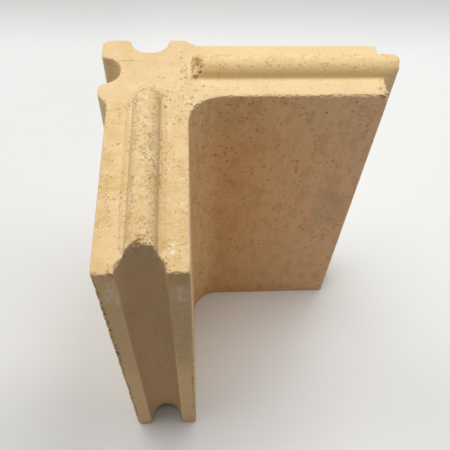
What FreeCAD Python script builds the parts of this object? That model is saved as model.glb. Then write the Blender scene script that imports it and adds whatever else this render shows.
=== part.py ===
import FreeCAD, Part
import math
import os

V = FreeCAD.Vector

# Driving dimensions, in millimetres.
# The brick is an L in plan: leg A runs to the front, leg B to the right.
wall = 65.0
leg_length = 230.0
height = 325.0
inner_radius = 28.5
arris_round = 2.0
rear_end_round = 4.0
bed_edge_round = 1.3

# Thickened pad wrapped round the outer corner, with a land past each socket
pad_proud = 8.0
pad_land = 13.0
pad_shoulder_run = 10.5
pad_corner_round = 7.0
pad_shoulder_round = 6.0

# Section shared by the three upright grooves: two sockets in the pad, one end groove
groove_mouth = 33.5
groove_floor = 26.0
groove_depth = 17.0
groove_round = 15.0
socket_lip_round = 4.0
end_lip_round = 1.5

# Upright tongue on the right-hand end of leg B
tongue_base = 28.0
tongue_crest = 18.0
tongue_proud = 12.0
tongue_root_round = 1.5
tongue_crest_round = 10.0

# Rounded rib on the top bed of each leg
rib_width = 22.4
rib_height = 12.5
rib_start_a = 61.0
rib_start_b = 68.0
rib_bedding = 3.0

# Matching channel in the lower bed, larger than the rib by the mortar joint
joint_side = 3.8
joint_crown = 3.0

# How far a cutter or a rib runs on past the face that trims it
overrun = 5.0

# Sizes that follow from the ones above
mid = wall / 2.0
socket_lip = mid + groove_mouth / 2.0
pad_end = socket_lip + pad_land
shoulder_end = pad_end + pad_shoulder_run
past_end = leg_length + tongue_proud + overrun


def rounded_outline(corners):
    # Closed outline through (x, y, radius) corners, each one an arc.
    edges = []
    joins = []
    count = len(corners)
    for i in range(count):
        x, y, radius = corners[i]
        here = V(x, y, 0)
        before = V(corners[i - 1][0], corners[i - 1][1], 0)
        after_corner = corners[(i + 1) % count]
        after = V(after_corner[0], after_corner[1], 0)
        back = (before - here).normalize()
        ahead = (after - here).normalize()
        opening = math.acos(max(-1.0, min(1.0, back.dot(ahead))))
        reach = radius / math.tan(opening / 2.0)
        start = here + back * reach
        end = here + ahead * reach
        bisector = (back + ahead).normalize()
        middle = here + bisector * (radius / math.sin(opening / 2.0) - radius)
        joins.append((start, middle, end))
    for i in range(count):
        start, middle, end = joins[i]
        edges.append(Part.Arc(start, middle, end).toShape())
        following = joins[(i + 1) % count][0]
        if (following - end).Length > 1e-6:
            edges.append(Part.makeLine(end, following))
    return Part.Wire(edges)


def groove_section(lip_round):
    # Corners (along, outward, radius) from the near lip to the far one.
    half_mouth = groove_mouth / 2.0
    half_floor = groove_floor / 2.0
    return [
        (-half_mouth, 0.0, lip_round),
        (-half_floor, -groove_depth, groove_round),
        (half_floor, -groove_depth, groove_round),
        (half_mouth, 0.0, lip_round),
    ]


def plan_corners():
    socket = groove_section(socket_lip_round)
    half_base = tongue_base / 2.0
    half_crest = tongue_crest / 2.0
    crest_x = leg_length + tongue_proud
    # Pad and rear socket, then along the back of leg B
    points = [(-pad_proud, pad_proud, pad_corner_round)]
    points += [(mid + along, pad_proud + out, radius) for along, out, radius in socket]
    points += [
        (pad_end, pad_proud, pad_shoulder_round),
        (shoulder_end, 0.0, pad_shoulder_round),
        (leg_length, 0.0, rear_end_round),
    ]
    # Tongue on the end of leg B, then the inner side of the L
    points += [
        (leg_length, -mid + half_base, tongue_root_round),
        (crest_x, -mid + half_crest, tongue_crest_round),
        (crest_x, -mid - half_crest, tongue_crest_round),
        (leg_length, -mid - half_base, tongue_root_round),
        (leg_length, -wall, arris_round),
        (wall, -wall, inner_radius),
        (wall, -leg_length, arris_round),
    ]
    # Groove in the end of leg A, then along its outer side to the pad
    end_groove = groove_section(end_lip_round)
    points += [(mid - along, -leg_length - out, radius) for along, out, radius in end_groove]
    points += [
        (0.0, -leg_length, arris_round),
        (0.0, -shoulder_end, pad_shoulder_round),
        (-pad_proud, -pad_end, pad_shoulder_round),
    ]
    points += [(-pad_proud - out, -mid + along, radius) for along, out, radius in socket]
    return points


def extrude(corners, base, tall):
    face = Part.Face(rounded_outline(corners))
    face.translate(V(0, 0, base))
    return face.extrude(V(0, 0, tall))


def bed_edges(solid, level):
    return [
        edge for edge in solid.Edges
        if all(abs(v.Z - level) < 1e-6 for v in edge.Vertexes)
    ]


def rounded_bar(width, rise, root, bed, start, leg):
    # Bar along a leg's middle plane, from "root" up to "rise" above the bed.
    # It has upright sides, a half-round crown and a plain inner end at "start".
    radius = width / 2.0
    run = past_end - start
    centre_z = bed + rise - radius
    tall = centre_z - root
    if leg == "A":
        flank = Part.makeBox(width, run, tall, V(mid - radius, -past_end, root))
        rod = Part.makeCylinder(radius, run, V(mid, -start, centre_z), V(0, -1, 0))
    else:
        flank = Part.makeBox(run, width, tall, V(start, -mid - radius, root))
        rod = Part.makeCylinder(radius, run, V(start, -mid, centre_z), V(1, 0, 0))
    return flank.fuse(rod)


# Body of the brick, with its top and lower edges slightly worn round
corners = plan_corners()
body = extrude(corners, 0.0, height)
body = body.makeFillet(bed_edge_round, bed_edges(body, height) + bed_edges(body, 0.0))

# Top ribs, kept within the plan and bedded into the body
rib_root = height - rib_bedding
keep = extrude(corners, rib_root, rib_bedding + rib_height + overrun)
rib_a = rounded_bar(rib_width, rib_height, rib_root, height, rib_start_a, "A")
rib_b = rounded_bar(rib_width, rib_height, rib_root, height, rib_start_b, "B")
brick = body.fuse(rib_a.fuse(rib_b).common(keep))

# Channels in the lower bed, which take the ribs of the brick below
channel_width = rib_width + 2.0 * joint_side
channel_depth = rib_height + joint_crown
channel_a = rounded_bar(
    channel_width, channel_depth, -overrun, 0.0, rib_start_a - joint_side, "A")
channel_b = rounded_bar(
    channel_width, channel_depth, -overrun, 0.0, rib_start_b - joint_side, "B")
brick = brick.cut(channel_a.fuse(channel_b)).removeSplitter()

# The origin goes to the middle of the bounding box, on the floor
low_x = -pad_proud
high_x = leg_length + tongue_proud
low_y = -leg_length
high_y = pad_proud
brick.translate(V(-(low_x + high_x) / 2.0, -(low_y + high_y) / 2.0, 0))

os.makedirs("parts", exist_ok=True)
solid = brick.Solids[0]
solid.exportStep("parts/corner_firebrick.step")
box = solid.BoundBox
print("solids", len(brick.Solids), "valid", solid.isValid(), "volume", round(solid.Volume / 1e6, 4))
print("box", [round(v, 3) for v in (box.XMin, box.YMin, box.ZMin, box.XMax, box.YMax, box.ZMax)])
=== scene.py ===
import math
import random

import bmesh
import bpy
import numpy as np
from mathutils import Euler, Matrix, Vector, noise


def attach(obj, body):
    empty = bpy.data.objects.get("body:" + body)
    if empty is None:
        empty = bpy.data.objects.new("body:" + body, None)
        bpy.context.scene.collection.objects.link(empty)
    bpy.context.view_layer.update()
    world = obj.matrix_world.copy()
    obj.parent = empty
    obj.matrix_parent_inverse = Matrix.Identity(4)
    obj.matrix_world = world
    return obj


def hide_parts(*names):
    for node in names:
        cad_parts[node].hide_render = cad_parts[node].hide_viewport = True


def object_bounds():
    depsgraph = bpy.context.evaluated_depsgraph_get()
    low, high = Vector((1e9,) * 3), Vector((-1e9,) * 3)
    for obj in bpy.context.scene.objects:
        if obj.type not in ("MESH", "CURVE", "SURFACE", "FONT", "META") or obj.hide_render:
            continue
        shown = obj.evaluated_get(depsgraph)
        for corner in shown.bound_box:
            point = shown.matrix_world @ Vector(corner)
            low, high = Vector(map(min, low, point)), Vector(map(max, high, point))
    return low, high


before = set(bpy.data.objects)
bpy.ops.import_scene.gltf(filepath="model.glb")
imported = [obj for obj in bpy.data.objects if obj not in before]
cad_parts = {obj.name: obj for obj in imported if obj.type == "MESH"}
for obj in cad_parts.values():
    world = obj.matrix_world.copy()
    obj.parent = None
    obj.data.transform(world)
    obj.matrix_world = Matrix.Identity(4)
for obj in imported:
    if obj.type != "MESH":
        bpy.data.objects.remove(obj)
cad_low, cad_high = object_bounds()

NODE = "corner_firebrick"
MM = 0.001

# Sizes of the brick, in metres, in the same frame as the solid
WALL = 0.065
LEG = 0.230
BED = 0.325
PAD_PROUD = 0.008
RIB_START_A = 0.061
RIB_START_B = 0.068

# Places that follow from them
OUTER_X = cad_low.x + PAD_PROUD
OUTER_Y = cad_high.y - PAD_PROUD
MID_A = OUTER_X + WALL / 2.0
MID_B = OUTER_Y - WALL / 2.0
INNER_X = OUTER_X + WALL
INNER_Y = OUTER_Y - WALL
FRONT_Y = OUTER_Y - LEG
END_X = OUTER_X + LEG
CROWN = cad_high.z
TONGUE_X = cad_high.x

# Reach within which the solid's loose corners are joined
MERGE_REACH = 0.001 * MM

# Grain of the remeshed skin and the most triangles that it keeps
SKIN_VOXEL = 0.85 * MM
SKIN_TRIANGLES = 190000

# Camera at the photograph's viewing angle
CAMERA_PLACE = (-0.04894, -0.30220, 0.63009)
CAMERA_TURN = (33.530, -1.875, -2.666)
CAMERA_SENSOR = 36.0
CAMERA_LENS = 44.559
CAMERA_SHIFT_Y = 0.0522
CAMERA_NEAR = 0.01
CAMERA_FAR = 50.0

# Lights, each aimed at the brick's upper part: places and sizes in metres, power in watts
LIGHT_AIM = (0.0, 0.0, 0.25)
LIGHTS = {
    "key": dict(place=(-0.10, 0.85, 4.00), size=(4.0, 3.4), power=180.5, colour=(1.0, 0.985, 0.96)),
    "left_fill": dict(place=(-1.8, 0.1, 0.9), size=(1.2, 1.2), power=4.4, colour=(1.0, 0.98, 0.95)),
}

# The studio all round: its strength where it lights the brick, and where it is seen
STUDIO_COLOUR = (1.0, 0.98, 0.96, 1.0)
STUDIO_LIGHT = 0.108
STUDIO_SEEN = 0.86

# Floor, pale paper with painted shade far off, close by and to the left.
# Each range runs over a place in metres: from, to, and the share of the painted shade at each end.
FLOOR_REACH = 6.0
FLOOR_ROUGHNESS = 0.9
PAPER = (0.905, 0.92, 0.93, 1.0)
PAINTED_FLOOR_SHADE = (0.30, 0.30, 0.305, 1.0)
DARK_FAR_OFF = (0.49, 0.74, 0.03, 0.50)
DARK_CLOSE_BY = (-0.01, -0.13, 0.0, 0.135)
DARK_LEFT = (-0.09, -0.20)
DARK_LEFT_ALONG = (0.24, 0.04, 0.12, 0.25)
DARK_LEFT_BEHIND = (0.60, 0.45, 0.3, 1.0)

# Craggy lumps for the chips: how fine each kind of relief is, and how high on a lump of radius 1
ROCK_SUBDIVISIONS = 4
ROCK_BROAD = (1.6, 0.30)
ROCK_FACETS = (2.2, 0.22)
ROCK_GRIT = (9.0, 0.05)
ROCK_SHIFT = (3.7, 1.9, 5.3)

# Chips knocked off, each by a lump: centre in metres, half sizes in mm, turn in degrees, seed
CHIPS = {
    "crown_chip": (
        (MID_A + 0.5 * MM, FRONT_Y + 15.0 * MM, CROWN + 0.8 * MM), (10.6, 6.6, 5.2), (20, 0, 12), 3),
    "corner_chip": (
        (END_X - 2.0 * MM, INNER_Y - 0.4 * MM, BED + 0.9 * MM), (7.5, 3.6, 3.4), (10, 20, 30), 7),
    "edge_chip": (
        (END_X + 1.6 * MM, INNER_Y + 8.0 * MM, BED + 0.6 * MM), (3.0, 5.0, 3.4), (0, 0, 8), 13),
    "root_chip": (
        (END_X + 1.6 * MM, INNER_Y + 15.4 * MM, BED - 0.5 * MM), (3.7, 5.2, 8.5), (10, 0, 20), 11),
    "tongue_chip": (
        (TONGUE_X - 0.4 * MM, MID_B - 3.0 * MM, CROWN - 3.6 * MM), (1.8, 2.6, 2.4), (0, 30, 0), 4),
    "bed_pit": ((-0.0704, 0.0339, BED), (1.9, 1.9, 3.0), (0, 0, 20), 2),
}

# Ragged slope at the torn end of rib B, in mm and degrees: large lumps side by side, then small
# ones over them. The slope climbs from the bed to the crown, and lies further along at the front.
TORN_SEED = 8
SLOPE_RUN = 6.0
SLOPE_RISE = 12.5
SLOPE_SKEW = 5.0
SLOPE_SKEW_WIDTH = 22.0
SLOPE_SKEW_MIDDLE = 0.35
SLOPE_LIFT = 0.8
SLOPE_LUMPS = 6
SLOPE_HALF_SIZES = (8.4, 4.0, 5.5)
SLOPE_FIRST_ACROSS = -10.5
SLOPE_WIDTH = 20.0
SLOPE_WOBBLE = 1.0
SLOPE_ROLL = 12.0
SLOPE_PITCH = 8.0
SLOPE_ROCK_SEED = 40
TEAR_COUNT = 16
TEAR_SIZE = (0.9, 1.9)
TEAR_ALONG = (2.0, SLOPE_RUN + 1.0)
TEAR_ACROSS = (-11.0, 10.0)
TEAR_WOBBLE = 1.2
TEAR_ROCK_SEED = 60

# How coarse the crowns of the ribs are, from 0 to 1, and the heights where that sets in and is full
RIB_A_COARSE = 0.48
RIB_B_COARSE = 0.34
RIB_B_REAR_COARSE = 0.50
RIB_B_REAR_Y = MID_B + 2.0 * MM
RIB_COARSE_HEIGHTS = (BED + 3.5 * MM, BED + 9.5 * MM)

# A spot fades out from its middle to its rim, as the square of the way out goes from low to high
SPOT_FADE = (0.35, 1.0)

# Spots where the clay is coarse: centre in metres, half sizes in mm, strength
COARSE_SPOTS = {
    "torn end of rib B": (
        (OUTER_X + RIB_START_B - 0.5 * MM, MID_B - 3.0 * MM, BED + 4.0 * MM), (12, 15, 12), 0.5),
    "start of rib A": (
        (MID_A + 3.0 * MM, OUTER_Y - RIB_START_A - 1.0 * MM, BED + 5.0 * MM), (17, 12, 13), 0.8),
    "front edge, right of the groove": (
        (INNER_X - 8.0 * MM, FRONT_Y + 2.0 * MM, BED), (13, 5.5, 5), 0.30),
    "front edge, left of the groove": (
        (OUTER_X + 15.0 * MM, FRONT_Y + 3.0 * MM, BED), (6, 6, 6), 0.8),
    "groove rim, left": ((MID_A - 12.0 * MM, FRONT_Y + 9.0 * MM, BED + 2.0 * MM), (7, 8, 7), 0.8),
    "groove rim, right": ((MID_A + 13.0 * MM, FRONT_Y + 9.0 * MM, BED + 2.0 * MM), (6, 8, 7), 0.6),
    "chipped crown": ((MID_A, FRONT_Y + 15.0 * MM, CROWN), (15, 6, 7), 0.9),
    "chipped corner": ((END_X - 2.0 * MM, INNER_Y + 3.0 * MM, BED), (10, 14, 6), 0.9),
    "bed edge at the inner corner": (
        (INNER_X + 5.0 * MM, INNER_Y - 9.0 * MM, BED), (11, 12, 5), 0.7),
    "bed edge of leg B": ((INNER_X + 85.0 * MM, INNER_Y, BED), (110, 3.5, 4), 0.36),
    "left front arris": ((OUTER_X, FRONT_Y, BED / 2.0), (5, 5, 260), 1.0),
    "right front arris": ((INNER_X, FRONT_Y, BED / 3.0), (4, 4, 110), 0.6),
    "rim of the arch at the foot": ((MID_A, FRONT_Y + 17.0 * MM, 12.0 * MM), (15, 5, 7), 0.7),
}

# Spots worn soft, as before the clay was fired: the same form
SOFT_SPOTS = {
    "start of rib A": (
        (MID_A - 1.0 * MM, OUTER_Y - RIB_START_A, BED + 5.0 * MM), (24, 15, 18), 1.0),
    "crown at the tongue": ((TONGUE_X, MID_B, CROWN), (7, 12, 8), 0.35),
}

# Spots torn open, rough as broken bread: the same form
TORN_SPOTS = {
    "torn end of rib B": (
        (OUTER_X + RIB_START_B + 3.5 * MM, MID_B - 1.0 * MM, BED + 7.0 * MM), (10, 15, 11), 1.0),
    "bed before the torn end": (
        (OUTER_X + RIB_START_B - 4.0 * MM, MID_B - 5.0 * MM, BED), (6, 8, 3), 0.45),
    "start of rib A": (
        (MID_A + 3.0 * MM, OUTER_Y - RIB_START_A - 2.0 * MM, BED + 7.0 * MM), (12, 10, 8), 0.45),
    "chipped crown": ((MID_A, FRONT_Y + 15.5 * MM, CROWN), (12, 5, 5), 0.3),
    "front edge, right of the groove": (
        (INNER_X - 8.0 * MM, FRONT_Y + 2.5 * MM, BED), (12, 4, 4), 0.16),
    "tongue root": ((END_X - 2.0 * MM, INNER_Y + 15.5 * MM, BED), (6, 6, 5), 0.8),
    "chipped corner": ((END_X - 3.0 * MM, INNER_Y, BED), (9, 4, 4), 0.5),
}

# Soft hollows along the feet of the ribs: the same form
FOOT_SPOTS = {
    "left foot of rib A": ((MID_A - 12.0 * MM, FRONT_Y + 85.0 * MM, BED), (13, 115, 13), 1.0),
    "right foot of rib A": ((MID_A + 12.0 * MM, FRONT_Y + 85.0 * MM, BED), (11, 115, 13), 0.7),
    "front foot of rib B": ((INNER_X + 80.0 * MM, MID_B - 12.0 * MM, BED), (130, 10, 13), 0.1),
}

# Colours of the fired clay. Some hold painted light: the inner ground and the gold are partly painted
# warm bounce light, the browner band is partly painted shade, the foot, end-face and groove colours
# are painted shade, and the dark speck colour is also painted shade in pits
CREAM = (0.86, 0.66, 0.38, 1.0)
PALE = (0.93, 0.77, 0.52, 1.0)
OCHRE = (0.73, 0.51, 0.25, 1.0)
INNER_CLAY_AND_BOUNCE = (0.87, 0.53, 0.256, 1.0)
GOLD_AND_BOUNCE = (0.97, 0.70, 0.33, 1.0)
ROSE = (0.84, 0.56, 0.34, 1.0)
STRAW = (0.88, 0.60, 0.275, 1.0)
BAND_BROWN_AND_SHADE = (0.735, 0.405, 0.168, 1.0)
FOOT_SHADE = (0.58, 0.36, 0.19, 1.0)
END_FACE_SHADE = (0.68, 0.455, 0.25, 1.0)
GROOVE_SHADE = (0.54, 0.36, 0.195, 1.0)
SPECK_AND_PIT_SHADE = (0.36, 0.17, 0.035, 1.0)
IRON = (0.30, 0.09, 0.03, 1.0)
RUST = (0.55, 0.20, 0.06, 1.0)

# Colours of the marks on it; the near-black one is painted shade
PRESSED_BROWN_AND_SHADE = (0.42, 0.27, 0.12, 1.0)
CHALK = (0.95, 0.86, 0.68, 1.0)
ASH = (0.84, 0.69, 0.55, 1.0)
DIM = (0.40, 0.29, 0.19, 1.0)
DARK_SHADE = (0.22, 0.14, 0.08, 1.0)

# Marks on the skin, some of them painted shade: centre in metres, half sizes in mm, colour, strength,
# and how evenly the colour covers, from 0 for a broken smear to 1 for a full spot
MARKS = {
    "pressed line": ((-0.1022, 0.0905, BED), (11.0, 0.9, 2.0), PRESSED_BROWN_AND_SHADE, 0.90, 0.5),
    "second line": ((-0.0780, 0.0900, BED), (5.0, 0.6, 2.0), PRESSED_BROWN_AND_SHADE, 0.45, 0.2),
    # painted shade: near-black laid into the hollow that the bed_pit chip leaves
    "painted shade in the pit beside rib A": ((-0.0704, 0.0339, BED - 1.0 * MM), (1.7, 1.6, 3.0), DARK_SHADE, 0.95, 1.0),
    "scuff on bed A": ((-0.0642, -0.1005, BED), (3.0, 6.5, 2.0), CHALK, 0.70, 0.1),
    "dim patch on the right land": (
        (INNER_X - 9.0 * MM, FRONT_Y, BED - 60.0 * MM), (16.0, 3.0, 120.0), PRESSED_BROWN_AND_SHADE, 0.57, 0.75),
    "dim patch on the left land": (
        (OUTER_X + 12.0 * MM, FRONT_Y, BED - 80.0 * MM), (16.0, 3.0, 120.0), PRESSED_BROWN_AND_SHADE, 0.24, 0.8),
    # painted shade under the overhanging lip of the right edge, in the same brown as the pressed
    # marks
    "shade under the right edge": (
        (INNER_X - 9.0 * MM, FRONT_Y, BED - 6.0 * MM), (13.0, 3.0, 12.0), PRESSED_BROWN_AND_SHADE, 0.25, 1.0),
    # painted shade where the channel under the arch falls dark
    "painted shade at the arch rim": (
        (MID_A, FRONT_Y + 17.0 * MM, 15.0 * MM), (12.0, 6.0, 3.4), DARK_SHADE, 0.65, 0.4),
    "smear on the left land": (
        (OUTER_X + 12.5 * MM, FRONT_Y, BED - 25.0 * MM), (9.0, 3.0, 22.0), ASH, 0.42, 0.30),
    "smear on the right land": (
        (INNER_X - 8.0 * MM, FRONT_Y, BED - 28.0 * MM), (9.0, 3.0, 15.0), ASH, 0.42, 0.15),
    "grey patch inside": ((0.0900, INNER_Y, 0.172), (24.0, 4.0, 36.0), DIM, 0.22, 1.0),
    "brown patch inside": ((-0.0184, INNER_Y, 0.296), (17.0, 14.0, 17.0), PRESSED_BROWN_AND_SHADE, 0.17, 1.0),
}


# Mesh helpers

def mesh_object(name, mesh):
    piece = bpy.data.objects.new(name, mesh)
    bpy.context.scene.collection.objects.link(piece)
    return piece


def settled(piece):
    """The piece with its modifiers worked into a new mesh, and the modifiers gone."""
    graph = bpy.context.evaluated_depsgraph_get()
    mesh = bpy.data.meshes.new_from_object(piece.evaluated_get(graph))
    piece.modifiers.clear()
    piece.data = mesh
    return piece


def merged_copy(name, source):
    """A closed copy of a solid's mesh, its loose triangles joined."""
    shell = bmesh.new()
    shell.from_mesh(source.data)
    bmesh.ops.remove_doubles(shell, verts=shell.verts, dist=MERGE_REACH)
    bmesh.ops.recalc_face_normals(shell, faces=shell.faces)
    mesh = bpy.data.meshes.new(name)
    shell.to_mesh(mesh)
    shell.free()
    return mesh_object(name, mesh)


def rock(name, centre, size, turn, seed):
    """A craggy lump whose outside becomes the scar that a chip leaves."""
    lump = bmesh.new()
    bmesh.ops.create_icosphere(lump, subdivisions=ROCK_SUBDIVISIONS, radius=1.0)
    offset = Vector([seed * step for step in ROCK_SHIFT])
    broad_scale, broad_height = ROCK_BROAD
    facet_scale, facet_depth = ROCK_FACETS
    grit_scale, grit_height = ROCK_GRIT
    for vert in lump.verts:
        way = vert.co.normalized()
        broad = noise.noise(way * broad_scale + offset)
        facets = noise.voronoi(way * facet_scale + offset)[0][0]
        grit = noise.noise(way * grit_scale + offset)
        vert.co = way * (1.0 + broad_height * broad - facet_depth * facets + grit_height * grit)
    spin = Euler([math.radians(a) for a in turn]).to_matrix().to_4x4()
    place = Matrix.Translation(centre) @ spin @ Matrix.Diagonal((*size, 1.0))
    bmesh.ops.transform(lump, matrix=place, verts=lump.verts)
    mesh = bpy.data.meshes.new(name)
    lump.to_mesh(mesh)
    lump.free()
    return mesh_object(name, mesh)


def knock_off(piece, lump):
    """Takes a lump out of the piece and throws the lump away."""
    cut = piece.modifiers.new("cut", "BOOLEAN")
    cut.operation = "DIFFERENCE"
    cut.solver = "EXACT"
    cut.object = lump
    settled(piece)
    bpy.data.objects.remove(lump)


def chipped(piece):
    """Knocks the named chips off the piece."""
    for name, (centre, half_sizes, turn, seed) in CHIPS.items():
        size = [half * MM for half in half_sizes]
        knock_off(piece, rock(name, centre, size, turn, seed))
    return piece


def skewed(across):
    """How much further along the leg the torn slope lies, in mm, at a place across the rib."""
    return SLOPE_SKEW * (SLOPE_SKEW_MIDDLE - across / SLOPE_SKEW_WIDTH)


def torn(piece):
    """Tears the inner end of rib B along a ragged slope."""
    draw = random.Random(TORN_SEED)
    steep = math.atan2(SLOPE_RISE, SLOPE_RUN)
    length, width, thick = SLOPE_HALF_SIZES
    for number in range(SLOPE_LUMPS):
        across = SLOPE_FIRST_ACROSS + SLOPE_WIDTH * number / (SLOPE_LUMPS - 1)
        start = RIB_START_B + (skewed(across) + draw.uniform(-SLOPE_WOBBLE, SLOPE_WOBBLE)) * MM
        centre = (
            OUTER_X + start + (SLOPE_RUN / 2.0 - thick * math.sin(steep)) * MM,
            MID_B + across * MM,
            BED + (SLOPE_RISE / 2.0 + SLOPE_LIFT + thick * math.cos(steep)) * MM,
        )
        roll = draw.uniform(-SLOPE_ROLL, SLOPE_ROLL)
        pitch = -math.degrees(steep) + draw.uniform(-SLOPE_PITCH, SLOPE_PITCH)
        size = (length * MM, width * MM, thick * MM)
        knock_off(piece, rock("slope", centre, size, (roll, pitch, 0.0), SLOPE_ROCK_SEED + number))
    for number in range(TEAR_COUNT):
        along = draw.uniform(*TEAR_ALONG)
        across = draw.uniform(*TEAR_ACROSS)
        rise = SLOPE_RISE / SLOPE_RUN * along
        centre = (
            OUTER_X + RIB_START_B + (along + skewed(across)) * MM,
            MID_B + across * MM,
            BED + (rise + draw.uniform(-TEAR_WOBBLE, TEAR_WOBBLE)) * MM,
        )
        size = [draw.uniform(*TEAR_SIZE) * MM for axis in range(3)]
        turn = [draw.uniform(0.0, 180.0) for axis in range(3)]
        knock_off(piece, rock("tear", centre, size, turn, TEAR_ROCK_SEED + number))
    return piece


def remeshed(piece):
    """The piece with one even, closed skin, fine enough to be worn."""
    skin = piece.modifiers.new("skin", "REMESH")
    skin.mode = "VOXEL"
    skin.voxel_size = SKIN_VOXEL
    skin.use_smooth_shade = True
    return settled(piece)


def thinned(piece):
    """Fewer triangles where the skin is plain."""
    triangles = sum(len(p.vertices) - 2 for p in piece.data.polygons)
    if triangles > SKIN_TRIANGLES:
        thin = piece.modifiers.new("thin", "DECIMATE")
        thin.ratio = SKIN_TRIANGLES / triangles
        settled(piece)
    return piece


def smoothstep(value, low, high):
    share = np.clip((value - low) / (high - low), 0.0, 1.0)
    return share * share * (3.0 - 2.0 * share)


def spot_strength(place, spots):
    """How strongly each point lies within one of the named spots."""
    full, none = SPOT_FADE
    strength = np.zeros(len(place))
    for centre, half_sizes, most in spots.values():
        away = (place - np.array(centre)) / (np.array(half_sizes) * MM)
        strength = np.maximum(strength, most * smoothstep(-(away ** 2).sum(1), -none, -full))
    return strength


def mark_spots(piece):
    """Stores where the clay is coarse, worn soft or torn, and where the ribs' feet are hollowed."""
    mesh = piece.data
    co = np.zeros(len(mesh.vertices) * 3, np.float32)
    mesh.vertices.foreach_get("co", co)
    place = co.reshape(-1, 3)
    rib_b = np.where(place[:, 1] < RIB_B_REAR_Y, RIB_B_COARSE, RIB_B_REAR_COARSE)
    ribs = np.where(place[:, 0] < INNER_X, RIB_A_COARSE, rib_b)
    ribs = ribs * smoothstep(place[:, 2], *RIB_COARSE_HEIGHTS)
    values = {
        "coarse": np.maximum(ribs, spot_strength(place, COARSE_SPOTS)),
        "soft": spot_strength(place, SOFT_SPOTS),
        "torn": spot_strength(place, TORN_SPOTS),
        "foot": spot_strength(place, FOOT_SPOTS),
    }
    for name, value in values.items():
        attribute = mesh.attributes.new(name, "FLOAT", "POINT")
        attribute.data.foreach_set("value", value.astype(np.float32))
    return piece


# Small builders for node trees

class Tree:
    """Adds nodes to a tree and links plain values or sockets into them."""

    def __init__(self, tree):
        self.tree = tree

    def node(self, kind, inputs=None, **settings):
        made = self.tree.nodes.new(kind)
        for key, value in settings.items():
            setattr(made, key, value)
        for key, value in (inputs or {}).items():
            self.feed(made.inputs[key], value)
        return made

    def feed(self, socket, value):
        if isinstance(value, bpy.types.NodeSocket):
            self.tree.links.new(value, socket)
        else:
            socket.default_value = value

    def math(self, operation, a, b=0.0, clamp=False, c=0.0):
        values = {0: a, 1: b, 2: c} if operation == "MULTIPLY_ADD" else {0: a, 1: b}
        made = self.node("ShaderNodeMath", values, operation=operation, use_clamp=clamp)
        return made.outputs[0]

    def chain(self, operation, values):
        result = values[0]
        for value in values[1:]:
            result = self.math(operation, result, value)
        return result

    def product(self, *factors):
        return self.chain("MULTIPLY", factors)

    def total(self, *shares):
        return self.chain("ADD", shares)

    def largest(self, *values):
        return self.chain("MAXIMUM", values)

    def vector(self, operation, a, b=(0.0, 0.0, 0.0), scale=1.0):
        made = self.node("ShaderNodeVectorMath", {0: a, 1: b}, operation=operation)
        if operation == "SCALE":
            self.feed(made.inputs["Scale"], scale)
        return made.outputs["Value" if operation in ("DOT_PRODUCT", "LENGTH") else "Vector"]

    def ramp(self, value, low, high, out_low=0.0, out_high=1.0, smooth=True):
        """From out_low to out_high as the value goes from low to high, and level outside them."""
        made = self.node(
            "ShaderNodeMapRange",
            {0: value, 1: low, 2: high, 3: out_low, 4: out_high},
            interpolation_type="SMOOTHSTEP" if smooth else "LINEAR",
        )
        return made.outputs[0]

    def noise(self, place, scale, detail=2.0, roughness=0.5, shift=(0.0, 0.0, 0.0)):
        moved = self.vector("ADD", place, shift)
        made = self.node(
            "ShaderNodeTexNoise",
            {"Vector": moved, "Scale": scale, "Detail": detail, "Roughness": roughness},
            noise_dimensions="3D",
        )
        return made.outputs[0]

    def texture(self, place, low, high, least=0.0, most=1.0, **grain):
        """Noise that goes from its least share to its most as its level goes from low to high."""
        return self.ramp(self.noise(place, **grain), low, high, least, most)

    def noise_vector(self, place, scale, reach):
        """A small random shift, the same for points close together."""
        made = self.node(
            "ShaderNodeTexNoise", {"Vector": place, "Scale": scale, "Detail": 1.0},
            noise_dimensions="3D",
        )
        centred = self.vector("SUBTRACT", made.outputs["Color"], (0.5, 0.5, 0.5))
        return self.vector("SCALE", centred, scale=2.0 * reach)

    def blend(self, factor, a, b):
        """Colour b over colour a."""
        made = self.node("ShaderNodeMix", {0: factor, 6: a, 7: b}, data_type="RGBA", blend_type="MIX")
        return made.outputs[2]

    def cells(self, place, scale, shift):
        """Nearest distance, in cells, and a random colour for each cell."""
        moved = self.vector("ADD", place, shift)
        made = self.node(
            "ShaderNodeTexVoronoi",
            {"Vector": moved, "Scale": scale, "Randomness": 1.0},
            voronoi_dimensions="3D",
            feature="F1",
        )
        return made.outputs["Distance"], made.outputs["Color"]

    def dots(self, place, share, style, scale, narrow, wide, shift=(0.0, 0.0, 0.0)):
        """Ragged dots at random, in a share of the cells: 0 outside them and 1 in their middle."""
        splitter, wobble_scale, wobble_reach, full = style
        wobble = self.noise_vector(place, wobble_scale, wobble_reach)
        reach, tint = self.cells(self.vector("ADD", place, wobble), scale, shift)
        drawn = self.node(splitter, {0: tint}).outputs
        width = self.ramp(drawn[1], 0.0, 1.0, narrow * scale, wide * scale, smooth=False)
        depth = self.ramp(self.math("DIVIDE", reach, width), 1.0, full)
        return self.product(depth, self.math("LESS_THAN", drawn[0], share))


# Wear of the skin

# How many times the skin is softened, and how far a point stands off the softened skin, in metres,
# where it starts to count as edge, shoulder or hollow and where it counts in full
EDGE_BLUR = 8
EDGE_STAND = (0.08 * MM, 0.55 * MM)
SHOULDER_BLUR = 45
SHOULDER_STAND = (0.25 * MM, 1.3 * MM)
HOLLOW_BLUR = 170
HOLLOW_STAND = (-0.15 * MM, -1.8 * MM)

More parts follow.
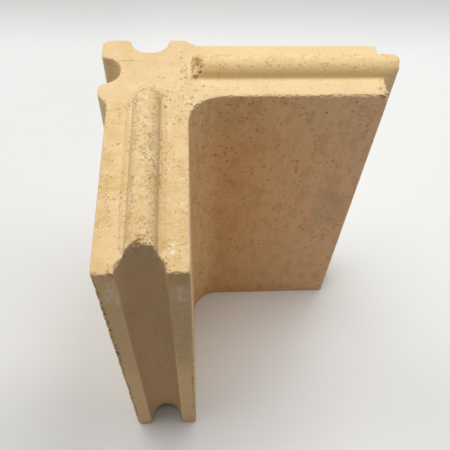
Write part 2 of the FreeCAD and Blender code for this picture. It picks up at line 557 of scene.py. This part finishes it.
# Noise over the skin: scale per metre, shift in metres, levels, and the shares at those levels
WORN_STRETCHES = dict(scale=26.0, detail=3.0, low=0.44, high=0.66, least=0.10, most=0.80)
CRUMBS = dict(scale=240.0, detail=3.0, roughness=0.6, low=0.42, high=0.70)
CRUMBLY_STRETCHES = dict(scale=40.0, shift=(5.0, 2.0, 1.0), low=0.35, high=0.65, least=0.25)
NOTCHES = dict(scale=210.0, shift=(0.6, 0.2, 0.4), low=0.50, high=0.60)
TEETH = dict(scale=190.0, shift=(0.2, 0.7, 0.4), low=0.51, high=0.57)
WAVES = dict(scale=12.0)
GRAIN = dict(scale=330.0, detail=3.0, roughness=0.6)
PIT_CLUSTERS = dict(
    scale=24.0, shift=(3.0, 1.0, 2.0), low=0.44, high=0.64, least=0.06, most=0.42)
CRAGS = dict(scale=300.0, detail=3.0, roughness=0.65, shift=(7.0, 2.0, 5.0), low=0.34, high=0.66)

# Round hollows: the node that splits their random colour, scale and reach of the wobble of their
# rims, and the share of the radius within which they are at full depth
BOWL_STYLE = ("FunctionNodeSeparateColor", 420.0, 0.9 * MM, 0.45)
BITE_SHARE = 0.20
BITES = dict(scale=60.0, narrow=2.6 * MM, wide=4.6 * MM, shift=(0.31, 0.17, 0.05))
PITS = dict(scale=105.0, narrow=0.9 * MM, wide=1.6 * MM, shift=(0.07, 0.41, 0.23))

# Teeth of the upright arrises: drawn wide across, none near the bed, and reaching into the faces
TEETH_STRETCH = (0.1, 0.1, 1.0)
TEETH_HEIGHTS = (BED - 1.0 * MM, BED - 5.0 * MM)
TEETH_REACH = 0.55
TEETH_DEPTH = 1.4

# What the coarse and the torn spots add or keep back
COARSE_WEAR = 0.3
COARSE_GRAIN = 3.8
PLAIN_GRAIN = 0.7
COARSE_PITS = 0.5
TORN_FULL = 0.6
TORN_WEAR = 0.15


class Weather:
    """The tree that wears the brick: every move of the skin goes inwards or blends it in."""

    SIZES = {
        "Arris wear": 1.0,
        "Nibble depth": 0.7 * MM,
        "Bite depth": 1.8 * MM,
        "Notch depth": 1.7 * MM,
        "Wave depth": 0.3 * MM,
        "Grain depth": 0.13 * MM,
        "Pit depth": 0.9 * MM,
        "Crag depth": 0.8 * MM,
    }

    def __init__(self):
        self.group = bpy.data.node_groups.new("weathered_fireclay", "GeometryNodeTree")
        face = self.group.interface
        face.new_socket("Geometry", in_out="INPUT", socket_type="NodeSocketGeometry")
        for label, size in self.SIZES.items():
            socket = face.new_socket(label, in_out="INPUT", socket_type="NodeSocketFloat")
            socket.default_value = size
        face.new_socket("Material", in_out="INPUT", socket_type="NodeSocketMaterial")
        face.new_socket("Geometry", in_out="OUTPUT", socket_type="NodeSocketGeometry")
        self.t = Tree(self.group)
        self.given = self.t.node("NodeGroupInput").outputs
        self.place = self.t.node("GeometryNodeInputPosition").outputs[0]
        self.facing = self.t.node("GeometryNodeInputNormal").outputs[0]
        self.coarse = self.stored("coarse")
        self.soft = self.stored("soft")
        self.torn = self.stored("torn")
        self.foot = self.stored("foot")

    def stored(self, name):
        read = self.t.node("GeometryNodeInputNamedAttribute", {"Name": name}, data_type="FLOAT")
        return read.outputs[0]

    def gap_to_softened(self, times):
        """How far each point stands from a softened copy of the skin."""
        blur = self.t.node(
            "GeometryNodeBlurAttribute", {"Value": self.place, "Iterations": times},
            data_type="FLOAT_VECTOR",
        )
        return self.t.vector("SUBTRACT", self.place, blur.outputs[0])

    def standing(self, gap, limits):
        """1 where the skin stands far enough off a softened copy."""
        return self.t.ramp(self.t.vector("DOT_PRODUCT", gap, self.facing), *limits)

    def softening(self, near, edge):
        """The move that wears stretches of arris, the soft spots and the feet of the ribs."""
        t = self.t
        stretches = t.texture(self.place, **WORN_STRETCHES)
        wear = t.product(edge, stretches, self.given["Arris wear"])
        wear = t.largest(wear, t.product(self.coarse, COARSE_WEAR, edge))
        intact = t.ramp(self.torn, 0.0, TORN_FULL, 1.0, TORN_WEAR, smooth=False)
        wear = t.math("MULTIPLY", wear, intact, clamp=True)
        pull = t.vector("SCALE", near, scale=t.product(wear, -1.0))
        melted = self.gap_to_softened(HOLLOW_BLUR)
        hollow = self.standing(melted, HOLLOW_STAND)
        soft = t.largest(self.soft, t.product(hollow, self.foot))
        melt = t.vector("SCALE", melted, scale=t.product(soft, -1.0))
        return t.vector("ADD", pull, melt)

    def notches(self, shoulder):
        """Notches of the coarse arrises, and the teeth of the upright ones."""
        t = self.t
        height = t.node("ShaderNodeSeparateXYZ", {0: self.place}).outputs[2]
        upright = t.ramp(height, *TEETH_HEIGHTS)
        teeth = t.texture(t.vector("MULTIPLY", self.place, TEETH_STRETCH), **TEETH)
        comb = t.product(upright, t.largest(shoulder, TEETH_REACH), teeth)
        notches = t.product(t.texture(self.place, **NOTCHES), shoulder)
        return t.product(t.largest(notches, t.product(comb, TEETH_DEPTH)), self.coarse)

    def build(self):
        t = self.t
        given = self.given
        near = self.gap_to_softened(EDGE_BLUR)
        edge = self.standing(near, EDGE_STAND)
        shoulder = self.standing(self.gap_to_softened(SHOULDER_BLUR), SHOULDER_STAND)

        # Crumbs, bites and notches along the arrises
        often = t.total(t.texture(self.place, **CRUMBLY_STRETCHES), self.coarse)
        nibble = t.product(edge, t.texture(self.place, **CRUMBS), often, given["Nibble depth"])
        bites = t.dots(self.place, BITE_SHARE, BOWL_STYLE, **BITES)
        bite = t.product(bites, shoulder, given["Bite depth"])
        notches = self.notches(shoulder)
        notch = t.product(notches, given["Notch depth"])

        # Waves, grain and pits of the faces, and crags of the torn spots
        waves = t.product(t.noise(self.place, **WAVES), given["Wave depth"])
        coarser = t.math("MULTIPLY_ADD", self.coarse, COARSE_GRAIN, c=PLAIN_GRAIN)
        grain = t.product(t.noise(self.place, **GRAIN), coarser, given["Grain depth"])
        clusters = t.texture(self.place, **PIT_CLUSTERS)
        clusters = t.total(clusters, t.product(self.coarse, COARSE_PITS))
        pits = t.dots(self.place, clusters, BOWL_STYLE, **PITS)
        pit = t.product(pits, given["Pit depth"])
        crag = t.product(t.texture(self.place, **CRAGS), self.torn, given["Crag depth"])

        taken = t.total(nibble, bite, notch, waves, grain, pit, crag)
        inward = t.vector("SCALE", self.facing, scale=t.product(taken, -1.0))
        shape = given["Geometry"]
        for name, value in (("pit", t.largest(pits, notches)), ("arris", edge)):
            kept = t.node(
                "GeometryNodeStoreNamedAttribute", {"Geometry": shape, "Name": name, "Value": value},
                data_type="FLOAT", domain="POINT",
            )
            shape = kept.outputs[0]
        offset = t.vector("ADD", self.softening(near, edge), inward)
        moved = t.node("GeometryNodeSetPosition", {"Geometry": shape, "Offset": offset})
        real = t.node("GeometryNodeRealizeInstances", {0: moved.outputs[0]})
        dressed = t.node(
            "GeometryNodeSetMaterial", {0: real.outputs[0], "Material": given["Material"]})
        t.feed(t.node("NodeGroupOutput").inputs[0], dressed.outputs[0])
        return self.group


def weathered(piece, material):
    """The piece worn by the tree and dressed in the material."""
    group = Weather().build()
    wear = piece.modifiers.new("weather", "NODES")
    wear.node_group = group
    for item in group.interface.items_tree:
        if item.in_out == "INPUT" and item.name == "Material":
            wear[item.identifier] = material
    return settled(piece)


# Fired clay

# Zones along one axis: from, to, and the shares at the two ends where they aren't 0 and 1
ZONES = {
    "right of the inner arris": ("X", INNER_X - 1.5 * MM, INNER_X - 0.5 * MM),
    "before the inner face": ("Y", INNER_Y + 1.5 * MM, INNER_Y + 0.5 * MM),
    "under the bed": ("Z", BED - 0.3 * MM, BED - 1.8 * MM),
    "behind the grooved end": ("Y", FRONT_Y + 1.0 * MM, FRONT_Y + 110.0 * MM),
    "within the groove's height": ("Z", BED + 9.0 * MM, BED + 6.0 * MM),
    "above the bed": ("Z", BED + 0.3 * MM, BED + 1.5 * MM),
    "below the crown": ("Z", BED + 11.5 * MM, BED + 5.0 * MM, 0.58, 1.0),
    "along rib B": ("X", INNER_X, INNER_X + 20.0 * MM),
    # Darker ochre on leg A and towards the front: partly the clay's colour, partly painted shade
    # where the light falls off
    "ochre and painted shade towards leg A": ("X", INNER_X + 25.0 * MM, INNER_X - 20.0 * MM, 0.0, 0.36),
    "ochre and painted shade towards the front": ("Y", 0.10, -0.11, 0.03, 0.52),
    "left part of bed A": ("X", MID_A - 8.0 * MM, OUTER_X + 8.0 * MM),
    "grooved end": ("Y", FRONT_Y + 2.0 * MM, FRONT_Y + 1.0 * MM),
    "band, fading to the foot": ("Z", 0.0, BED * 0.6, 0.15, 0.8),
    "band, fading to the bed": ("Z", BED, BED - 70.0 * MM, 0.35, 1.0),
    "rose towards the tongue": ("X", INNER_X + 70.0 * MM, END_X, 0.0, 0.80),
    # Painted shade, darker towards the foot of the inner faces and less at the fillet
    "painted shade towards the foot": ("Z", BED * 0.8, 0.0, 0.0, 0.36),
    "painted shade away from the fillet": ("X", INNER_X, INNER_X + 32.0 * MM, 0.40, 1.0),
    "fillet": ("X", INNER_X + 34.0 * MM, INNER_X + 8.0 * MM),
    "straw towards the foot": ("Z", BED, BED * 0.3, 0.2, 0.7),
    "pale towards the bed": ("Z", BED - 75.0 * MM, BED, 0.0, 0.15),
    "on the bed": ("Z", BED - 4.0 * MM, BED - 1.0 * MM),
    "before rib B": ("Y", INNER_Y + 40.0 * MM, INNER_Y),
    "near leg A": ("X", INNER_X + 50.0 * MM, INNER_X),
    "busier to the front": ("Y", INNER_Y, FRONT_Y, 0.75, 1.0),
    "calmer behind rib B": ("Y", MID_B + 10.0 * MM, MID_B + 14.0 * MM, 0.60, 0.30),
    "calmer along leg B": ("X", INNER_X, INNER_X + 60.0 * MM),
    "well below the bed": ("Z", BED - 2.0 * MM, BED - 8.0 * MM),
    "rusty near the fillet": ("X", INNER_X + 80.0 * MM, INNER_X + 25.0 * MM, 0.25, 0.85),
}

# Middle and half width of the browner band near the inner corner: partly clay colour, partly painted
# shade and warm bounce light
SHADED_BAND_X = INNER_X + 40.0 * MM
SHADED_BAND_HALF = 42.0 * MM

# Round of the end groove: its middle, and the distances from it within which the skin gets painted
# shade
GROOVE_MIDDLE_Y = FRONT_Y + 2.0 * MM
GROOVE_REACH = (17.4 * MM, 16.8 * MM)

# Soft patches: scale per metre, levels, shares at those levels, shift in metres
PATCH_DETAIL = dict(detail=3.0, roughness=0.55)
PATCHES = {
    "blotches": dict(scale=55.0, low=0.38, high=0.66, shift=(1.0, 4.0, 2.0)),
    "ochre": dict(scale=11.0, low=0.35, high=0.65),
    "band": dict(scale=24.0, low=0.30, high=0.62, least=0.45, shift=(3.0, 3.0, 1.0)),
    "crowd": dict(scale=42.0, low=0.38, high=0.62, least=0.10, shift=(2.0, 8.0, 4.0)),
    "speckle": dict(scale=560.0, low=0.48, high=0.68),
    "rust": dict(scale=36.0, low=0.36, high=0.58, least=0.25, most=1.3, shift=(8.0, 5.0, 1.0)),
    "stain": dict(scale=120.0, low=0.46, high=0.66, shift=(4.0, 1.0, 7.0)),
    "streaks": dict(scale=260.0, low=0.42, high=0.60),
}

# Ragged dots: a style of the same form as that of the hollows, then for each kind the scale per
# metre and the least and greatest radius
DOT_STYLE = ("ShaderNodeSeparateColor", 520.0, 1.2 * MM, 0.5)
DOTS = {
    "pale grains": dict(scale=400.0, narrow=0.45 * MM, wide=0.90 * MM),
    "fine pores": dict(scale=330.0, narrow=0.55 * MM, wide=1.10 * MM),
    "wide pores": dict(scale=150.0, narrow=0.90 * MM, wide=1.70 * MM, shift=(0.2, 0.9, 0.7)),
    "drags": dict(scale=240.0, narrow=0.40 * MM, wide=0.60 * MM, shift=(0.5, 0.2, 0.8)),
    "iron": dict(scale=190.0, narrow=0.70 * MM, wide=1.90 * MM, shift=(0.9, 0.4, 0.1)),
}

# Short curved scratches: scale per metre, width as a share of the noise, shift in metres, and the
# level of the patches that break them up
SQUIGGLES = {
    "pale": dict(scale=250.0, width=0.06, shift=(1.0, 7.3, 3.0), broken=0.46),
    "dark": dict(scale=260.0, width=0.07, shift=(5.0, 2.0, 9.0), broken=0.47),
    "rusty": dict(scale=150.0, width=0.07, shift=(3.0, 6.0, 2.0), broken=0.52),
}
SQUIGGLE_DETAIL = 1.5
SQUIGGLE_CORE = 0.3
SQUIGGLE_BREAKS = 0.6
SQUIGGLE_BREAK_STEP = 0.08

# How strongly each colour covers the one under it, from 0 to 1
COVER = {
    "pale blotches": 0.25,
    "golden rib flank and bounce": 0.85,
    "shade on torn spots": 0.45,
    "grooved end": 0.75,
    "end groove": 0.85,
    "inner blotches": 0.40,
    "worn, highlit edges": 0.25,
    "speckle": 0.12,
    "pores": 0.46,
    # the teeth darken with painted shade; the crumbled edge between them takes a painted highlight
    "teeth": 0.75,
    "crumb highlights": 0.60,
    "iron": 0.46,
    "scrawl": 0.24,
    "stain": 0.25,
}

# Weights of the ochre ground
OCHRE_PATCHES = 0.25
OCHRE_LEFT_BED = 0.7

# How busy the skin is with pores and grains
BUSY_SHARES = (0.26, 0.95)
BUSY_INSIDE = 0.40
BUSY_GROOVE = 0.45
COARSE_GAIN = 2.2
COARSE_CROWD = 0.9
COARSE_SPECKLE = 0.9
PALE_SHARES = (0.7, 0.05)
PALE_ON_TOP = (0.30, 0.66)
FINE_SHARES = (0.75, 0.05)
FINE_WEIGHT = 0.8
WIDE_SHARE = 0.50
WIDE_WEIGHT = 0.9
DRAG_SQUEEZE = (0.30, 1.0, 1.0)
DRAG_SHARE = 0.10
DRAG_WEIGHT = 0.5
LINES_PLAIN = 0.45
IRON_LEAST = 0.05
DRAWN_OUT = (1.0, 1.0, 0.5)

# Rim of a mark, as a share of its half sizes
MARK_FULL = 0.55

# Relief that is finer than the skin's own mesh
GRIT = dict(scale=850.0, detail=3.0, roughness=0.6)
LUMPS = dict(scale=260.0)
GRIT_HEIGHT = 0.35
LUMP_HEIGHT = 0.45
COARSE_HEIGHT = 1.1
PORE_HEIGHT = -1.2
BUMP_DISTANCE = 0.55 * MM
BUMP_STRENGTH = 0.9
CLAY_ROUGHNESS = 0.92
CLAY_SPECULAR = 0.25


class Fireclay:
    """The fired clay: mottled cream, pored, specked with iron, browner inside the corner partly by
    painted shade, with painted shade and highlights laid into its colour elsewhere too.
    """

    def __init__(self):
        self.material = bpy.data.materials.new("fireclay")
        self.material.use_nodes = True
        self.t = Tree(self.material.node_tree)
        self.place = self.t.node("ShaderNodeTexCoord").outputs["Object"]
        self.axes = self.t.node("ShaderNodeSeparateXYZ", {0: self.place}).outputs
        self.coarse = self.stored("coarse")
        self.pit = self.stored("pit")
        self.edge = self.stored("arris")
        self.torn = self.stored("torn")

    def stored(self, name):
        return self.t.node("ShaderNodeAttribute", attribute_name=name).outputs["Fac"]

    def zone(self, name, *shares):
        """From 0 to 1, or from share to share, along one axis of the brick."""
        axis, *limits = ZONES[name]
        return self.t.ramp(self.axes[axis], *limits, *shares)

    def zones(self, *names):
        return self.t.product(*[self.zone(name) for name in names])

    def patches(self, name, place=None):
        """Soft patches at random."""
        spread = self.place if place is None else place
        return self.t.texture(spread, **PATCH_DETAIL, **PATCHES[name])

    def dots(self, name, place, share):
        return self.t.dots(place, share, DOT_STYLE, **DOTS[name])

    def cover(self, name, under, colour, *masks):
        """A colour laid over the one under it, where the masks say."""
        return self.t.blend(self.t.product(*masks, COVER[name]), under, colour)

    def rest(self, value):
        """What a value leaves of 1."""
        return self.t.math("SUBTRACT", 1.0, value)

    def end_groove(self):
        """1 on the skin of the groove in the end of leg A."""
        t = self.t
        aside = t.math("SUBTRACT", self.axes["X"], MID_A)
        deep = t.math("SUBTRACT", self.axes["Y"], GROOVE_MIDDLE_Y)
        away = t.math("SQRT", t.total(t.product(aside, aside), t.product(deep, deep)))
        return t.product(t.ramp(away, *GROOVE_REACH), self.zone("within the groove's height"))

    def mark(self, centre, half_sizes, even):
        """1 in the middle of a smudge, fading out towards its ragged rim."""
        t = self.t
        away = t.vector("SUBTRACT", self.place, centre)
        away = t.vector("DIVIDE", away, [half * MM for half in half_sizes])
        fade = t.ramp(t.vector("LENGTH", away), 1.0, MARK_FULL)
        streaky = t.vector("MULTIPLY", self.place, DRAWN_OUT)
        streaks = t.texture(streaky, least=even, **PATCH_DETAIL, **PATCHES["streaks"])
        return t.product(fade, streaks)

    def squiggles(self, place, scale, width, shift, broken):
        """Short curved scratches at random, 1 on their middle line."""
        t = self.t
        level = t.noise(place, scale, SQUIGGLE_DETAIL, shift=shift)
        off_line = t.math("ABSOLUTE", t.math("SUBTRACT", level, 0.5))
        line = t.ramp(off_line, width, width * SQUIGGLE_CORE)
        breaks = t.texture(
            self.place, broken, broken + SQUIGGLE_BREAK_STEP, scale=scale * SQUIGGLE_BREAKS,
            shift=(shift[1], shift[2], shift[0]), **PATCH_DETAIL,
        )
        return t.product(line, breaks)

    def outer_ground(self, blotch):
        """Colour of the beds, the outer faces and the grooved end, with painted shade towards leg A
        and the front, on the torn spots, on the end face and in the end groove, and partly painted
        bounce light on rib B's flanks.
        """
        t = self.t
        towards_front = self.zone("ochre and painted shade towards the front")
        towards_a = self.zone("ochre and painted shade towards leg A")
        ochre = t.math("MULTIPLY_ADD", self.patches("ochre"), OCHRE_PATCHES, c=towards_a)
        left_bed = t.product(self.zone("left part of bed A"), towards_front, OCHRE_LEFT_BED)
        clay = t.blend(t.total(ochre, towards_front, left_bed), CREAM, OCHRE)
        clay = self.cover("pale blotches", clay, PALE, blotch)
        # lighter gold on rib B's flanks: partly the clay's colour, partly painted warm bounce light
        # on the shaded flanks
        rib_b_flank_and_bounce = self.zones("above the bed", "below the crown", "along rib B")
        clay = self.cover("golden rib flank and bounce", clay, GOLD_AND_BOUNCE, rib_b_flank_and_bounce)
        # painted shade: the torn spots in darker ochre
        clay = self.cover("shade on torn spots", clay, OCHRE, self.torn)
        # painted shade: the grooved end face darker than the beds
        clay = self.cover("grooved end", clay, END_FACE_SHADE, self.zone("grooved end"))
        # painted shade in the end groove
        return self.cover("end groove", clay, GROOVE_SHADE, self.end_groove())

    def inner_ground(self, blotch):
        """Colour of the two inner faces: a ground partly of painted warm bounce light, a browner band
        of clay colour and painted shade, painted shade towards the foot, and the straw fillet.
        """
        t = self.t
        off_band = t.math("ABSOLUTE", t.math("SUBTRACT", self.axes["X"], SHADED_BAND_X))
        band = t.product(
            t.ramp(off_band, SHADED_BAND_HALF, 0.0),
            self.zone("band, fading to the foot"),
            self.patches("band"),
            self.zone("band, fading to the bed"),
        )
        # ground of the inner faces: clay colour, partly painted warm bounce light
        clay = self.cover("inner blotches", INNER_CLAY_AND_BOUNCE, OCHRE, blotch)
        clay = t.blend(self.zone("rose towards the tongue"), clay, ROSE)
        # browner band: partly clay colour, partly painted shade and warm bounce light near the corner
        clay = t.blend(band, clay, BAND_BROWN_AND_SHADE)
        # painted shade towards the foot of the inner faces
        clay = t.blend(self.zones("painted shade towards the foot", "painted shade away from the fillet"), clay, FOOT_SHADE)
        clay = t.blend(self.zones("fillet", "straw towards the foot"), clay, STRAW)
        return t.blend(self.zone("pale towards the bed"), clay, PALE)

    def build(self):
        t = self.t
        place = self.place
        blotch = self.patches("blotches")
        inside = self.zones(
            "right of the inner arris", "before the inner face",
            "under the bed", "behind the grooved end",
        )
        clay = t.blend(inside, self.outer_ground(blotch), self.inner_ground(blotch))
        # pale along the arrises: partly worn clay, partly painted highlight
        clay = self.cover("worn, highlit edges", clay, PALE, self.edge, self.rest(self.torn))

        # How busy the skin is: most on leg A's bed and on the coarse spots
        top = self.zone("on the bed")
        on_a = self.zone("near leg A", 0.0, self.zone("busier to the front"))
        bed_a = t.product(top, self.zone("before rib B"), on_a)
        coarse = t.math("MULTIPLY", self.coarse, COARSE_GAIN, clamp=True)
        busy = t.largest(
            t.ramp(bed_a, 0.0, 1.0, *BUSY_SHARES, smooth=False),
            t.product(inside, BUSY_INSIDE),
            t.product(self.end_groove(), BUSY_GROOVE),
            coarse,
        )
        crowd = t.product(self.patches("crowd"), busy)
        crowd = t.math("MAXIMUM", crowd, t.product(self.coarse, COARSE_CROWD), clamp=True)

        # Fine speckle, dark and pale
        rough_share = t.math("MULTIPLY_ADD", self.coarse, COARSE_SPECKLE, c=1.0)
        clay = self.cover("speckle", clay, SPECK_AND_PIT_SHADE, self.patches("speckle"), rough_share)
        gain, least = PALE_SHARES
        pale = self.dots("pale grains", place, t.math("MULTIPLY_ADD", crowd, gain, c=least))
        pale_lines = t.product(self.squiggles(place, **SQUIGGLES["pale"]), crowd, coarse)
        pale = t.product(t.largest(pale, pale_lines), t.ramp(top, 0.0, 1.0, *PALE_ON_TOP))
        clay = t.blend(t.product(pale, self.rest(self.torn)), clay, PALE)

        # Pores, dragged pores and scratches, with painted shade in the pits and notches of the skin
        gain, least = FINE_SHARES
        fine = self.dots("fine pores", place, t.math("MULTIPLY_ADD", crowd, gain, c=least))
        wide = self.dots("wide pores", place, t.product(crowd, WIDE_SHARE))
        drags = self.dots("drags", t.vector("MULTIPLY", place, DRAG_SQUEEZE), DRAG_SHARE)
        lines = t.product(self.squiggles(place, **SQUIGGLES["dark"]), crowd)
        lines = t.product(lines, t.ramp(coarse, 0.0, 1.0, LINES_PLAIN, 1.0))
        pores = t.largest(
            t.product(fine, FINE_WEIGHT),
            t.product(wide, WIDE_WEIGHT),
            t.product(drags, DRAG_WEIGHT),
            lines,
            self.pit,
        )
        calm = self.zone("calmer along leg B", 1.0, self.zone("calmer behind rib B"))
        pores = t.product(pores, t.largest(calm, t.largest(inside, coarse)))
        # dark pores and scratches in the clay, and painted shade over the pits and notches
        clay = self.cover("pores", clay, t.blend(inside, SPECK_AND_PIT_SHADE, RUST), pores)

        # Painted shade in the teeth and painted highlight on the crumbled edge between them, on the
        # upright arrises
        low_down = self.zone("well below the bed")
        clay = self.cover("teeth", clay, DARK_SHADE, self.pit, coarse, low_down)
        clay = self.cover("crumb highlights", clay, PALE, self.edge, self.rest(self.pit), coarse, low_down)

        # Iron specks, rusty scratches and stains of the inner faces
        rusty = t.math("MULTIPLY_ADD", inside, self.zone("rusty near the fillet"), c=IRON_LEAST)
        iron = self.dots("iron", place, t.product(rusty, self.patches("rust")))
        clay = self.cover("iron", clay, IRON, iron)
        drawn_out = t.vector("MULTIPLY", place, DRAWN_OUT)
        scrawl = self.squiggles(drawn_out, **SQUIGGLES["rusty"])
        clay = self.cover("scrawl", clay, RUST, scrawl, inside)
        clay = self.cover("stain", clay, RUST, self.patches("stain", drawn_out), inside)

        for centre, half_sizes, colour, strength, even in MARKS.values():
            clay = t.blend(t.product(self.mark(centre, half_sizes, even), strength), clay, colour)

        lumps = t.product(t.noise(place, **LUMPS), LUMP_HEIGHT)
        height = t.math("MULTIPLY_ADD", t.noise(place, **GRIT), GRIT_HEIGHT, c=lumps)
        height = t.product(height, t.math("MULTIPLY_ADD", self.coarse, COARSE_HEIGHT, c=1.0))
        height = t.math("MULTIPLY_ADD", pores, PORE_HEIGHT, c=height)
        bump = t.node(
            "ShaderNodeBump",
            {"Distance": BUMP_DISTANCE, "Height": height, "Strength": BUMP_STRENGTH},
        )

        shader = self.material.node_tree.nodes["Principled BSDF"]
        t.feed(shader.inputs["Base Color"], clay)
        t.feed(shader.inputs["Normal"], bump.outputs[0])
        t.feed(shader.inputs["Roughness"], CLAY_ROUGHNESS)
        t.feed(shader.inputs["Specular IOR Level"], CLAY_SPECULAR)
        return self.material


def build_brick():
    piece = merged_copy("fired_clay_brick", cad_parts[NODE])
    chipped(piece)
    torn(piece)
    remeshed(piece)
    mark_spots(piece)
    material = Fireclay().build()
    piece.data.materials.clear()
    weathered(piece, material)
    thinned(piece)
    piece.data.shade_smooth()
    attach(piece, "root")
    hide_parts(NODE)
    return piece


# Floor, lights and camera

def stage_rays(t):
    """1 for rays that show the stage itself, 0 for those that light the brick."""
    rays = t.node("ShaderNodeLightPath").outputs
    mirrored = t.largest(rays["Is Glossy Ray"], rays["Is Transmission Ray"])
    return t.largest(rays["Is Camera Ray"], mirrored)


def build_floor():
    mesh = bpy.data.meshes.new("floor")
    reach = FLOOR_REACH
    mesh.from_pydata(
        [(-reach, -reach, 0.0), (reach, -reach, 0.0), (reach, reach, 0.0), (-reach, reach, 0.0)],
        [], [(0, 1, 2, 3)],
    )
    floor = mesh_object("floor", mesh)
    material = bpy.data.materials.new("pale_floor")
    material.use_nodes = True
    t = Tree(material.node_tree)
    place = t.node("ShaderNodeTexCoord").outputs["Object"]
    x, y = t.node("ShaderNodeSeparateXYZ", {0: place}).outputs[:2]
    far_off = t.ramp(y, *DARK_FAR_OFF)
    close_by = t.ramp(y, *DARK_CLOSE_BY)
    left = t.product(
        t.ramp(x, *DARK_LEFT), t.ramp(y, *DARK_LEFT_ALONG), t.ramp(y, *DARK_LEFT_BEHIND))
    # the paper's colour carries painted shade far off, close by and to the left
    paper = t.blend(t.total(far_off, close_by, left), PAPER, PAINTED_FLOOR_SHADE)
    shader = material.node_tree.nodes["Principled BSDF"]
    t.feed(shader.inputs["Base Color"], paper)
    t.feed(shader.inputs["Roughness"], FLOOR_ROUGHNESS)
    mesh.materials.append(material)


def area_light(name, place, size, power, colour):
    lamp = bpy.data.lights.new(name, "AREA")
    lamp.shape = "RECTANGLE"
    lamp.size, lamp.size_y = size
    lamp.energy = power
    lamp.color = colour
    holder = bpy.data.objects.new(name, lamp)
    bpy.context.scene.collection.objects.link(holder)
    holder.location = place
    holder.rotation_euler = (Vector(LIGHT_AIM) - Vector(place)).to_track_quat("-Z", "Y").to_euler()


def build_lights():
    for name, light in LIGHTS.items():
        area_light(name, **light)
    world = bpy.data.worlds.new("studio")
    world.use_nodes = True
    bpy.context.scene.world = world
    t = Tree(world.node_tree)
    background = world.node_tree.nodes["Background"]
    t.feed(background.inputs["Color"], STUDIO_COLOUR)
    strength = t.ramp(stage_rays(t), 0.0, 1.0, STUDIO_LIGHT, STUDIO_SEEN, smooth=False)
    t.feed(background.inputs["Strength"], strength)


def build_camera():
    lens = bpy.data.cameras.new("camera")
    lens.sensor_width = CAMERA_SENSOR
    lens.lens = CAMERA_LENS
    lens.shift_y = CAMERA_SHIFT_Y
    lens.clip_start = CAMERA_NEAR
    lens.clip_end = CAMERA_FAR
    holder = bpy.data.objects.new("camera", lens)
    bpy.context.scene.collection.objects.link(holder)
    holder.location = CAMERA_PLACE
    holder.rotation_euler = [math.radians(a) for a in CAMERA_TURN]
    bpy.context.scene.camera = holder


build_brick()
build_floor()
build_lights()
build_camera()
bpy.context.scene.view_settings.view_transform = "Standard"
